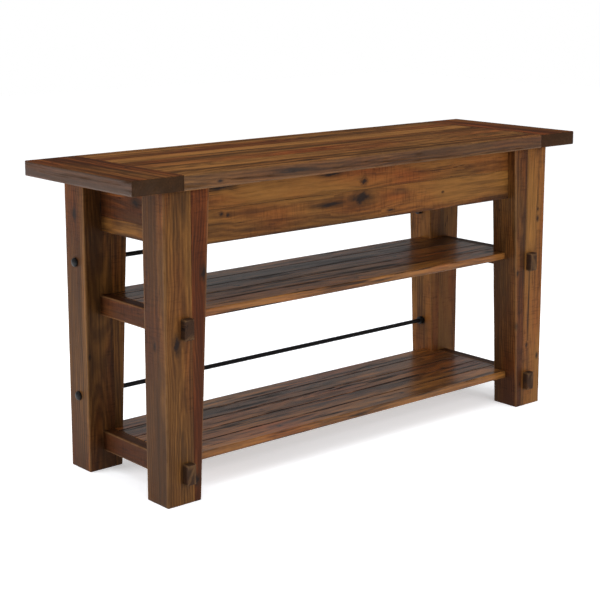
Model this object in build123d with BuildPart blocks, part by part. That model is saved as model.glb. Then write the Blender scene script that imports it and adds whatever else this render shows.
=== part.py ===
from build123d import *
import os

os.makedirs("parts", exist_ok=True)

# Console table, millimetres, +Z up. The origin is on the floor under the middle of the top.
# X runs along the table (left is negative), the front faces -Y.

# --- Overall sizes ---
TABLE_LENGTH = 1372
TABLE_DEPTH = 414
TABLE_HEIGHT = 711

# --- Top ---
TOP_THICKNESS = 34
TOP_BOARD_COUNT = 7
END_BOARD_WIDTH = 128
END_TONGUE_LENGTH = 20
END_TONGUE_THICKNESS = 12
END_TONGUE_STOP = 25
TOP_EDGE_TONGUE = 7
TOP_EDGE_TONGUE_THICKNESS = 10
TOP_ARRIS = 2

# --- Legs ---
LENGTH_OVER_LEGS = 1198
DEPTH_OVER_LEGS = 378
LEG_DEPTH = 77
LEG_TOP_WIDTH = 119
LEG_FOOT_WIDTH = 88
OUTER_STAVE_WIDTH = 70
LEG_ARRIS = 4
FOOT_CHAMFER = 2

# --- Aprons, each glued from an upper and a lower board ---
APRON_HEIGHT = 127
APRON_THICKNESS = 22
LONG_APRON_RECESS = 24
END_APRON_RECESS = 46
LONG_APRON_GLUE_LINE = 54
END_APRON_GLUE_LINE = 92
STUB_TENON_LENGTH = 20
STUB_TENON_THICKNESS = 10
STUB_TENON_SHOULDER = 12

# --- Shelves and their end rails ---
SHELF_TOPS = {"upper": 407, "lower": 91}
SHELF_THICKNESS = 18
SHELF_DEPTH = 304
SHELF_BOARD_COUNT = 5
SHELF_EDGE_TONGUE = 5
SHELF_EDGE_TONGUE_THICKNESS = 6
SHELF_END_TONGUE = 8
SHELF_END_TONGUE_THICKNESS = 8
SHELF_ARRIS = 1.5
RAIL_RECESS = 38
RAIL_THICKNESS = 28
RAIL_HEIGHT = 46
THROUGH_TENON_THICKNESS = 25
THROUGH_TENON_PROUD = 15
TENON_END_CHAMFER = 2

# --- Tie rods between the rear legs ---
ROD_HEIGHTS = {"upper": 481, "lower": 173}
ROD_DIAMETER = 11
ROD_HOLE_DIAMETER = 11.5
ROD_THREAD_IN_NUT = 4
NUT_DIAMETER = 21
NUT_RIM = 2.5
NUT_DOME = 5.5
COLLAR_LENGTH = 12
COLLAR_SEAT_DEPTH = 1
COLLAR_SEAT_DIAMETER = 21.6
COLLAR_CHAMFER = 1.5

# --- Hidden blocks and screws ---
CORNER_BLOCK_SIZE = 30
CORNER_BLOCK_HEIGHT = 90
FIXING_BLOCK_LENGTH = 60
FIXING_BLOCK_SIZE = 25
FIXING_BLOCK_SPACING = 300
SCREW_DIAMETER = 4
SCREW_HEAD_DIAMETER = 8
SCREW_HEAD_HEIGHT = 2.5
TOP_SCREW_LENGTH = 45
APRON_SCREW_LENGTH = 38
APRON_SCREW_OFFSET = 15

# --- Places worked out from the sizes ---
LEG_HEIGHT = TABLE_HEIGHT - TOP_THICKNESS
TOP_MIDDLE = TABLE_HEIGHT - TOP_THICKNESS / 2
TOP_INNER_END = TABLE_LENGTH / 2 - END_BOARD_WIDTH
TOP_BOARD_WIDTH = TABLE_DEPTH / TOP_BOARD_COUNT
LEG_OUTER_X = LENGTH_OVER_LEGS / 2
LEG_OUTER_Y = DEPTH_OVER_LEGS / 2
LEG_INNER_Y = LEG_OUTER_Y - LEG_DEPTH
LEG_CENTRE_Y = LEG_OUTER_Y - LEG_DEPTH / 2
STAVE_JOINT_X = LEG_OUTER_X - OUTER_STAVE_WIDTH
APRON_BOTTOM = LEG_HEIGHT - APRON_HEIGHT
STUB_TENON_BOTTOM = APRON_BOTTOM + STUB_TENON_SHOULDER
STUB_TENON_TOP = LEG_HEIGHT - STUB_TENON_SHOULDER
STUB_TENON_END_X = LEG_OUTER_X - LEG_TOP_WIDTH + STUB_TENON_LENGTH
STUB_TENON_END_Y = LEG_INNER_Y + STUB_TENON_LENGTH
LONG_APRON_Y = LEG_OUTER_Y - LONG_APRON_RECESS - APRON_THICKNESS / 2
END_APRON_X = LEG_OUTER_X - END_APRON_RECESS - APRON_THICKNESS / 2
RAIL_CENTRE_X = LEG_OUTER_X - RAIL_RECESS - RAIL_THICKNESS / 2
RAIL_INNER_X = RAIL_CENTRE_X - RAIL_THICKNESS / 2
SHELF_BOARD_WIDTH = SHELF_DEPTH / SHELF_BOARD_COUNT
TENON_TIP_Y = LEG_OUTER_Y + THROUGH_TENON_PROUD
BLOCK_BOTTOM = LEG_HEIGHT - FIXING_BLOCK_SIZE
NUT_DOME_RADIUS = ((NUT_DIAMETER / 2) ** 2 + NUT_DOME**2) / (2 * NUT_DOME)
OVERCUT = 5

SIDES = {"left": -1, "right": 1}
FACES = {"front": -1, "rear": 1}


def leg_inner_x(height):
    """Half distance between the sloping inner faces of the legs at a height above the floor."""
    slope = (LEG_TOP_WIDTH - LEG_FOOT_WIDTH) / LEG_HEIGHT
    return LEG_OUTER_X - LEG_FOOT_WIDTH - slope * height


def save(piece, name):
    """Label a finished piece and write its STEP file."""
    piece.part.label = name
    export_step(piece.part, f"parts/{name}.step")


def cut_box(low, high):
    """Cut the box between two corners out of the part that is being built."""
    centre = [(a + b) / 2 for a, b in zip(low, high)]
    size = [abs(b - a) for a, b in zip(low, high)]
    with Locations(tuple(centre)):
        Box(*size, mode=Mode.SUBTRACT)


def add_box(low, high):
    """Add the box between two corners to the part that is being built."""
    centre = [(a + b) / 2 for a, b in zip(low, high)]
    size = [abs(b - a) for a, b in zip(low, high)]
    with Locations(tuple(centre)):
        Box(*size)


def corner_fillet(piece, side):
    """Ease the two upright edges on the face that looks away from the table's middle."""
    upright = piece.edges().filter_by(Axis.Z)
    fillet(upright.group_by(Axis.X)[-1 if side > 0 else 0], LEG_ARRIS)


def foot_chamfer(piece):
    """Break the edges of a leg's foot, but not the glue line between its staves."""
    foot = piece.faces().sort_by(Axis.Z)[0].edges()
    chamfer(foot.filter_by(lambda edge: abs(abs(edge.center().X) - STAVE_JOINT_X) > 1), FOOT_CHAMFER)


def leg_blank(side, face):
    """The whole leg as a plain tapered post, for cutting what fits around it."""
    with BuildPart() as blank:
        with BuildSketch(Plane.XZ.offset(-face * LEG_CENTRE_Y)):
            with BuildLine():
                Polyline(
                    (side * LEG_OUTER_X, 0),
                    (side * leg_inner_x(0), 0),
                    (side * leg_inner_x(LEG_HEIGHT), LEG_HEIGHT),
                    (side * LEG_OUTER_X, LEG_HEIGHT),
                    close=True,
                )
            make_face()
        extrude(amount=LEG_DEPTH / 2, both=True)
    return blank.part


def rod_plane(side, x, height):
    """A plane across a tie rod's line at x on one side, looking away from the table's middle."""
    return Plane(origin=(side * x, LEG_CENTRE_Y, height), z_dir=(side, 0, 0))


def cut_rod_holes(side):
    """Drill a rear leg for both tie rods and sink flat seats for their collars."""
    for height in ROD_HEIGHTS.values():
        with Locations(rod_plane(side, LEG_OUTER_X, height)):
            Cylinder(ROD_HOLE_DIAMETER / 2, 3 * LEG_TOP_WIDTH, mode=Mode.SUBTRACT)
        seat_x = leg_inner_x(height) + COLLAR_SEAT_DEPTH
        with Locations(rod_plane(side, seat_x - OVERCUT, height)):
            Cylinder(COLLAR_SEAT_DIAMETER / 2, 2 * OVERCUT, mode=Mode.SUBTRACT)


def screw(length):
    """One countersunk screw: the head's flat face on the XY plane, the shank along +Z."""
    with BuildPart() as shape:
        with BuildSketch(Plane.XZ):
            with BuildLine():
                Polyline(
                    (0, 0),
                    (SCREW_HEAD_DIAMETER / 2, 0),
                    (SCREW_DIAMETER / 2, SCREW_HEAD_HEIGHT),
                    (SCREW_DIAMETER / 2, length - SCREW_DIAMETER / 2),
                    (0, length),
                    close=True,
                )
            make_face()
        revolve(axis=Axis.Z)
    return shape.part


def tongued_profile(y_low, y_high, z_middle, thickness, tongue, tongue_thickness, groove, tongued):
    """Face of a board's cross-section: a groove along its front edge, a tongue along its rear."""
    with Locations(((y_low + y_high) / 2, z_middle)):
        Rectangle(y_high - y_low, thickness)
    if groove:
        with Locations((y_low + tongue / 2, z_middle)):
            Rectangle(tongue, tongue_thickness, mode=Mode.SUBTRACT)
    if tongued:
        with Locations((y_high + tongue / 2, z_middle)):
            Rectangle(tongue, tongue_thickness)


# --- Fixing blocks and screws: three places along each long apron, one on each end apron ---
long_block_y = LONG_APRON_Y - APRON_THICKNESS / 2 - FIXING_BLOCK_SIZE / 2
end_block_x = END_APRON_X - APRON_THICKNESS / 2 - FIXING_BLOCK_SIZE / 2
block_middle_z = BLOCK_BOTTOM + FIXING_BLOCK_SIZE / 2
long_block_xs = [-FIXING_BLOCK_SPACING, 0, FIXING_BLOCK_SPACING]

top_screw_planes = []
apron_screw_planes = []
for outward in FACES.values():
    for x in long_block_xs:
        screw_y = outward * (long_block_y - FIXING_BLOCK_SIZE / 2)
        top_origin = (x + APRON_SCREW_OFFSET, outward * long_block_y, BLOCK_BOTTOM)
        apron_origin = (x - APRON_SCREW_OFFSET, screw_y, block_middle_z)
        top_screw_planes.append(Plane(origin=top_origin, z_dir=(0, 0, 1)))
        apron_screw_planes.append(Plane(origin=apron_origin, z_dir=(0, outward, 0)))
for outward in SIDES.values():
    screw_x = outward * (end_block_x - FIXING_BLOCK_SIZE / 2)
    top_origin = (outward * end_block_x, APRON_SCREW_OFFSET, BLOCK_BOTTOM)
    apron_origin = (screw_x, -APRON_SCREW_OFFSET, block_middle_z)
    top_screw_planes.append(Plane(origin=top_origin, z_dir=(0, 0, 1)))
    apron_screw_planes.append(Plane(origin=apron_origin, z_dir=(outward, 0, 0)))

with BuildPart() as top_screws:
    with Locations(*top_screw_planes):
        add(screw(TOP_SCREW_LENGTH))
save(top_screws, "top_screws")

with BuildPart() as apron_screws:
    with Locations(*apron_screw_planes):
        add(screw(APRON_SCREW_LENGTH))
save(apron_screws, "apron_screws")

with BuildPart() as fixing_blocks:
    for outward in FACES.values():
        with Locations(*[(x, outward * long_block_y, block_middle_z) for x in long_block_xs]):
            Box(FIXING_BLOCK_LENGTH, FIXING_BLOCK_SIZE, FIXING_BLOCK_SIZE)
    for outward in SIDES.values():
        with Locations((outward * end_block_x, 0, block_middle_z)):
            Box(FIXING_BLOCK_SIZE, FIXING_BLOCK_LENGTH, FIXING_BLOCK_SIZE)
    add(top_screws.part, mode=Mode.SUBTRACT)
    add(apron_screws.part, mode=Mode.SUBTRACT)
save(fixing_blocks, "top_fixing_blocks")

# --- Top: long boards with tongued edges, their ends tongued into the end boards ---
for number in range(TOP_BOARD_COUNT):
    y_low = -TABLE_DEPTH / 2 + number * TOP_BOARD_WIDTH
    y_high = y_low + TOP_BOARD_WIDTH
    is_front = number == 0
    is_rear = number == TOP_BOARD_COUNT - 1
    tongue_low = y_low + (END_TONGUE_STOP if is_front else 0)
    tongue_high = y_high - (END_TONGUE_STOP if is_rear else 0)
    with BuildPart() as top_board:
        with BuildSketch(Plane.YZ):
            tongued_profile(
                y_low,
                y_high,
                TOP_MIDDLE,
                TOP_THICKNESS,
                TOP_EDGE_TONGUE,
                TOP_EDGE_TONGUE_THICKNESS,
                groove=not is_front,
                tongued=not is_rear,
            )
        extrude(amount=TOP_INNER_END, both=True)
        if is_front or is_rear:
            long_edges = top_board.edges().filter_by(Axis.X)
            fillet(long_edges.group_by(Axis.Y)[0 if is_front else -1], TOP_ARRIS)
        for side in SIDES.values():
            add_box(
                (side * TOP_INNER_END, tongue_low, TOP_MIDDLE - END_TONGUE_THICKNESS / 2),
                (
                    side * (TOP_INNER_END + END_TONGUE_LENGTH),
                    tongue_high,
                    TOP_MIDDLE + END_TONGUE_THICKNESS / 2,
                ),
            )
        add(top_screws.part, mode=Mode.SUBTRACT)
    save(top_board, f"top_board_{number + 1}")

for side_name, side in SIDES.items():
    with BuildPart() as end_board:
        add_box(
            (side * TOP_INNER_END, -TABLE_DEPTH / 2, LEG_HEIGHT),
            (side * TABLE_LENGTH / 2, TABLE_DEPTH / 2, TABLE_HEIGHT),
        )
        corners = end_board.edges().filter_by(Axis.Z).group_by(Axis.X)
        fillet(corners[-1 if side > 0 else 0], LEG_ARRIS)
        rims = end_board.faces().sort_by(Axis.Z)[0].edges() + end_board.faces().sort_by(Axis.Z)[-1].edges()
        fillet(rims.filter_by(lambda edge: abs(edge.center().X) > TOP_INNER_END + 1), TOP_ARRIS)
        cut_box(
            (
                side * (TOP_INNER_END - OVERCUT),
                END_TONGUE_STOP - TABLE_DEPTH / 2,
                TOP_MIDDLE - END_TONGUE_THICKNESS / 2,
            ),
            (
                side * (TOP_INNER_END + END_TONGUE_LENGTH),
                TABLE_DEPTH / 2 - END_TONGUE_STOP,
                TOP_MIDDLE + END_TONGUE_THICKNESS / 2,
            ),
        )
    save(end_board, f"top_end_board_{side_name}")

# --- Legs: an outer stave that takes the mortises and an inner stave that tapers ---
for face_name, face in FACES.items():
    for side_name, side in SIDES.items():
        leg_plane = Plane.XZ.offset(-face * LEG_CENTRE_Y)
        with BuildPart() as outer_stave:
            with BuildSketch(leg_plane):
                with Locations((side * (LEG_OUTER_X + STAVE_JOINT_X) / 2, LEG_HEIGHT / 2)):
                    Rectangle(OUTER_STAVE_WIDTH, LEG_HEIGHT)
            extrude(amount=LEG_DEPTH / 2, both=True)
            corner_fillet(outer_stave, side)
            foot_chamfer(outer_stave)
            for shelf_top in SHELF_TOPS.values():
                cut_box(
                    (
                        side * (RAIL_CENTRE_X - THROUGH_TENON_THICKNESS / 2),
                        face * (LEG_INNER_Y - OVERCUT),
                        shelf_top - RAIL_HEIGHT,
                    ),
                    (
                        side * (RAIL_CENTRE_X + THROUGH_TENON_THICKNESS / 2),
                        face * TENON_TIP_Y,
                        shelf_top,
                    ),
                )
            cut_box(
                (
                    side * (END_APRON_X - STUB_TENON_THICKNESS / 2),
                    face * (LEG_INNER_Y - OVERCUT),
                    STUB_TENON_BOTTOM,
                ),
                (
                    side * (END_APRON_X + STUB_TENON_THICKNESS / 2),
                    face * STUB_TENON_END_Y,
                    STUB_TENON_TOP,
                ),
            )
            if face_name == "rear":
                cut_rod_holes(side)
        save(outer_stave, f"leg_{face_name}_{side_name}_outer_stave")

        with BuildPart() as inner_stave:
            with BuildSketch(leg_plane):
                with BuildLine():
                    Polyline(
                        (side * STAVE_JOINT_X, 0),
                        (side * leg_inner_x(0), 0),
                        (side * leg_inner_x(LEG_HEIGHT), LEG_HEIGHT),
                        (side * STAVE_JOINT_X, LEG_HEIGHT),
                        close=True,
                    )
                make_face()
            extrude(amount=LEG_DEPTH / 2, both=True)
            sloping_face = inner_stave.faces().sort_by(Axis.X)[0 if side > 0 else -1]
            fillet(sloping_face.edges().group_by(SortBy.LENGTH)[-1], LEG_ARRIS)
            foot_chamfer(inner_stave)
            cut_box(
                (
                    side * (STUB_TENON_END_X - STUB_TENON_LENGTH - OVERCUT),
                    face * (LONG_APRON_Y - STUB_TENON_THICKNESS / 2),
                    STUB_TENON_BOTTOM,
                ),
                (
                    side * STUB_TENON_END_X,
                    face * (LONG_APRON_Y + STUB_TENON_THICKNESS / 2),
                    STUB_TENON_TOP,
                ),
            )
            if face_name == "rear":
                cut_rod_holes(side)
        save(inner_stave, f"leg_{face_name}_{side_name}_inner_stave")

# --- Long aprons, front and rear: the ends follow the slope of the legs ---
long_glue_line = LEG_HEIGHT - LONG_APRON_GLUE_LINE
for face_name, face in FACES.items():
    for board_name, low, high in (
        ("upper", long_glue_line, LEG_HEIGHT),
        ("lower", APRON_BOTTOM, long_glue_line),
    ):
        with BuildPart() as long_apron_board:
            with BuildSketch(Plane.XZ.offset(-face * LONG_APRON_Y)):
                with BuildLine():
                    Polyline(
                        (-leg_inner_x(low), low),
                        (leg_inner_x(low), low),
                        (leg_inner_x(high), high),
                        (-leg_inner_x(high), high),
                        close=True,
                    )
                make_face()
            extrude(amount=APRON_THICKNESS / 2, both=True)
            add_box(
                (
                    -STUB_TENON_END_X,
                    face * LONG_APRON_Y - STUB_TENON_THICKNESS / 2,
                    max(low, STUB_TENON_BOTTOM),
                ),
                (
                    STUB_TENON_END_X,
                    face * LONG_APRON_Y + STUB_TENON_THICKNESS / 2,
                    min(high, STUB_TENON_TOP),
                ),
            )
            add(apron_screws.part, mode=Mode.SUBTRACT)
        save(long_apron_board, f"{face_name}_apron_{board_name}_board")

# --- End aprons, left and right ---
end_glue_line = LEG_HEIGHT - END_APRON_GLUE_LINE
for side_name, side in SIDES.items():
    for board_name, low, high in (
        ("upper", end_glue_line, LEG_HEIGHT),
        ("lower", APRON_BOTTOM, end_glue_line),
    ):
        with BuildPart() as end_apron_board:
            add_box(
                (side * END_APRON_X - APRON_THICKNESS / 2, -LEG_INNER_Y, low),
                (side * END_APRON_X + APRON_THICKNESS / 2, LEG_INNER_Y, high),
            )
            add_box(
                (
                    side * END_APRON_X - STUB_TENON_THICKNESS / 2,
                    -STUB_TENON_END_Y,
                    max(low, STUB_TENON_BOTTOM),
                ),
                (
                    side * END_APRON_X + STUB_TENON_THICKNESS / 2,
                    STUB_TENON_END_Y,
                    min(high, STUB_TENON_TOP),
                ),
            )
            add(apron_screws.part, mode=Mode.SUBTRACT)
        save(end_apron_board, f"{side_name}_apron_{board_name}_board")

# --- Corner blocks glued behind the aprons against the legs ---
block_low = (LEG_HEIGHT + APRON_BOTTOM - CORNER_BLOCK_HEIGHT) / 2
block_high = block_low + CORNER_BLOCK_HEIGHT
long_apron_back = LONG_APRON_Y - APRON_THICKNESS / 2
end_apron_back = END_APRON_X - APRON_THICKNESS / 2
with BuildPart() as long_corner_blocks:
    for face in FACES.values():
        for side in SIDES.values():
            add_box(
                (
                    side * (leg_inner_x(LEG_HEIGHT) - CORNER_BLOCK_SIZE),
                    face * (long_apron_back - CORNER_BLOCK_SIZE),
                    block_low,
                ),
                (side * leg_inner_x(0), face * long_apron_back, block_high),
            )
    for face in FACES.values():
        for side in SIDES.values():
            add(leg_blank(side, face), mode=Mode.SUBTRACT)
save(long_corner_blocks, "long_apron_corner_blocks")

with BuildPart() as end_corner_blocks:
    for face in FACES.values():
        for side in SIDES.values():
            add_box(
                (
                    side * (end_apron_back - CORNER_BLOCK_SIZE),
                    face * (LEG_INNER_Y - CORNER_BLOCK_SIZE),
                    block_low,
                ),
                (side * end_apron_back, face * LEG_INNER_Y, block_high),
            )
save(end_corner_blocks, "end_apron_corner_blocks")

# --- Shelves: boards between the end rails, the outer ones notched around the legs ---
for shelf_name, shelf_top in SHELF_TOPS.items():
    shelf_middle = shelf_top - SHELF_THICKNESS / 2
    for number in range(SHELF_BOARD_COUNT):
        y_low = -SHELF_DEPTH / 2 + number * SHELF_BOARD_WIDTH
        y_high = y_low + SHELF_BOARD_WIDTH
        is_front = number == 0
        is_rear = number == SHELF_BOARD_COUNT - 1
        with BuildPart() as shelf_board:
            with BuildSketch(Plane.YZ):
                tongued_profile(
                    y_low,
                    y_high,
                    shelf_middle,
                    SHELF_THICKNESS,
                    SHELF_EDGE_TONGUE,
                    SHELF_EDGE_TONGUE_THICKNESS,
                    groove=not is_front,
                    tongued=not is_rear,
                )
            extrude(amount=RAIL_INNER_X, both=True)
            if is_front or is_rear:
                long_edges = shelf_board.edges().filter_by(Axis.X)
                fillet(long_edges.group_by(Axis.Y)[0 if is_front else -1], SHELF_ARRIS)
            for side in SIDES.values():
                add_box(
                    (side * RAIL_INNER_X, y_low, shelf_middle - SHELF_END_TONGUE_THICKNESS / 2),
                    (
                        side * (RAIL_INNER_X + SHELF_END_TONGUE),
                        y_high,
                        shelf_middle + SHELF_END_TONGUE_THICKNESS / 2,
                    ),
                )
            for face in FACES.values():
                for side in SIDES.values():
                    add(leg_blank(side, face), mode=Mode.SUBTRACT)
        save(shelf_board, f"{shelf_name}_shelf_board_{number + 1}")

    for side_name, side in SIDES.items():
        with BuildPart() as rail:
            add_box(
                (
                    side * RAIL_CENTRE_X - THROUGH_TENON_THICKNESS / 2,
                    -TENON_TIP_Y,
                    shelf_top - RAIL_HEIGHT,
                ),
                (side * RAIL_CENTRE_X + THROUGH_TENON_THICKNESS / 2, TENON_TIP_Y, shelf_top),
            )
            tips = rail.faces().sort_by(Axis.Y)
            chamfer(tips[0].edges() + tips[-1].edges(), TENON_END_CHAMFER)
            add_box(
                (side * RAIL_CENTRE_X - RAIL_THICKNESS / 2, -LEG_INNER_Y, shelf_top - RAIL_HEIGHT),
                (side * RAIL_CENTRE_X + RAIL_THICKNESS / 2, LEG_INNER_Y, shelf_top),
            )
            cut_box(
                (
                    side * (RAIL_INNER_X - OVERCUT),
                    -LEG_INNER_Y,
                    shelf_middle - SHELF_END_TONGUE_THICKNESS / 2,
                ),
                (
                    side * (RAIL_INNER_X + SHELF_END_TONGUE),
                    LEG_INNER_Y,
                    shelf_middle + SHELF_END_TONGUE_THICKNESS / 2,
                ),
            )
        save(rail, f"{shelf_name}_rail_{side_name}")

# --- Tie rods, their domed nuts outside the rear legs and their collars inside them ---
for rod_name, height in ROD_HEIGHTS.items():
    with BuildPart() as tie_rod:
        with Locations(rod_plane(1, 0, height)):
            Cylinder(ROD_DIAMETER / 2, 2 * (LEG_OUTER_X + ROD_THREAD_IN_NUT))
    save(tie_rod, f"tie_rod_{rod_name}")

with BuildPart() as cap_nut:
    with BuildSketch(Plane.XZ):
        with BuildLine():
            Line((ROD_DIAMETER / 2, 0), (NUT_DIAMETER / 2, 0))
            Line((NUT_DIAMETER / 2, 0), (NUT_DIAMETER / 2, NUT_RIM))
            RadiusArc((NUT_DIAMETER / 2, NUT_RIM), (0, NUT_RIM + NUT_DOME), -NUT_DOME_RADIUS)
            Line((0, NUT_RIM + NUT_DOME), (0, ROD_THREAD_IN_NUT))
            Line((0, ROD_THREAD_IN_NUT), (ROD_DIAMETER / 2, ROD_THREAD_IN_NUT))
            Line((ROD_DIAMETER / 2, ROD_THREAD_IN_NUT), (ROD_DIAMETER / 2, 0))
        make_face()
    revolve(axis=Axis.Z)

with BuildPart() as cap_nuts:
    for side in SIDES.values():
        for height in ROD_HEIGHTS.values():
            with Locations(rod_plane(side, LEG_OUTER_X, height)):
                add(cap_nut.part)
save(cap_nuts, "tie_rod_cap_nuts")

with BuildPart() as collar:
    with BuildSketch():
        Circle(NUT_DIAMETER / 2)
        Circle(ROD_DIAMETER / 2, mode=Mode.SUBTRACT)
    extrude(amount=COLLAR_LENGTH)
    inner_rim = collar.faces().sort_by(Axis.Z)[0].edges().sort_by(SortBy.LENGTH)[-1]
    chamfer(inner_rim, COLLAR_CHAMFER)

with BuildPart() as collars:
    for side in SIDES.values():
        for height in ROD_HEIGHTS.values():
            collar_x = leg_inner_x(height) + COLLAR_SEAT_DEPTH - COLLAR_LENGTH
            with Locations(rod_plane(side, collar_x, height)):
                add(collar.part)
save(collars, "tie_rod_collars")
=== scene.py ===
"""Looks of a rustic console table: stained boards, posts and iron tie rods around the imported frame."""

import logging
import math
import random
from dataclasses import dataclass, field, replace
from enum import Enum

import bpy
import numpy as np
from mathutils import Euler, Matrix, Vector, noise


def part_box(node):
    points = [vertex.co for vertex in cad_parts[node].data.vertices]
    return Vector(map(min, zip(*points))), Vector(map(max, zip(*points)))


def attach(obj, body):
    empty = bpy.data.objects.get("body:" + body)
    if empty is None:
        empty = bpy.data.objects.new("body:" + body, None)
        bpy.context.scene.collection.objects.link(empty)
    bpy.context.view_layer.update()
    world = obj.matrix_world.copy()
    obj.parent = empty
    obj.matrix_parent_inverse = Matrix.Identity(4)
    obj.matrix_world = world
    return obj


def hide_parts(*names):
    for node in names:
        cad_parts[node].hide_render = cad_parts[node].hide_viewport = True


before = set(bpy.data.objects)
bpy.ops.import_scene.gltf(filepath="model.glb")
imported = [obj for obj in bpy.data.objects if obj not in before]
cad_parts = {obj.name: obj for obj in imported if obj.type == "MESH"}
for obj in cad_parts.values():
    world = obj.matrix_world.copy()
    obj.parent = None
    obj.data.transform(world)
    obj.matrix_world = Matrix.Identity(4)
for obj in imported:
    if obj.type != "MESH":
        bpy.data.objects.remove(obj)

log = logging.getLogger("console_table")
MM = 0.001
WHITE = (1.0, 1.0, 1.0)
FOOT_WIDTH = 88 * MM
Rgb = tuple[float, float, float]
Triple = tuple[float, float, float]
Faces = list[tuple[int, ...]]
Limits = tuple[np.ndarray, np.ndarray]
Outline = list[tuple[float, float]]


class Axis(Enum):
    """A frame axis, with its place in a coordinate."""

    X = 0
    Y = 1
    Z = 2


class Joint(Enum):
    """How one edge or end of a board meets its surroundings."""

    FREE = "rounded by hand and rubbed"
    GLUED = "tight against another board"

    @classmethod
    def free_if(cls, free: bool) -> "Joint":
        """A free joint or a glued one."""
        return cls.FREE if free else cls.GLUED


# --- Shader helpers ---


@dataclass(frozen=True)
class Figure:
    """A fractal noise: features per metre along, across and through the grain, and its octaves.

    The shift sets it apart from the other noises. Its mask is 0 at starts and 1 at full.
    """

    density: Triple
    shift: float
    octaves: float = 3.0
    roughness: float = 0.55
    starts: float = 0.0
    full: float = 1.0


class Signal:
    """One output socket in a shader, with arithmetic that adds Math nodes."""

    def __init__(self, shader: "Shader", socket: bpy.types.NodeSocket) -> None:
        """Wrap an output socket of a shader.

        Args:
            shader: the shader that the socket belongs to.
            socket: the output socket.
        """
        self.shader = shader
        self.socket = socket

    def math(self, operation: str, *others: "Signal | float") -> "Signal":
        """Add a Math node with this signal first.

        Args:
            operation: the Math node's operation.
            others: the second and third operands.

        Returns:
            The result.
        """
        return self.shader.node("ShaderNodeMath", {"operation": operation}, (self, *others))

    def __add__(self, other: "Signal | float") -> "Signal":
        """Sum."""
        return self.math("ADD", other)

    __radd__ = __add__

    def __sub__(self, other: "Signal | float") -> "Signal":
        """Difference."""
        return self.math("SUBTRACT", other)

    def __rsub__(self, other: float) -> "Signal":
        """Difference from a number."""
        return self.shader.node("ShaderNodeMath", {"operation": "SUBTRACT"}, (other, self))

    def __mul__(self, other: "Signal | float") -> "Signal":
        """Product."""
        return self.math("MULTIPLY", other)

    __rmul__ = __mul__

    def between(self, low: float, high: float) -> "Signal":
        """A smooth mask that is 0 at low and 1 at high.

        Args:
            low: the value where the mask is 0.
            high: the value where the mask is 1, above or below low.

        Returns:
            The mask.
        """
        settings = {"interpolation_type": "SMOOTHSTEP"}
        return self.shader.node("ShaderNodeMapRange", settings, (self, low, high))


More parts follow.
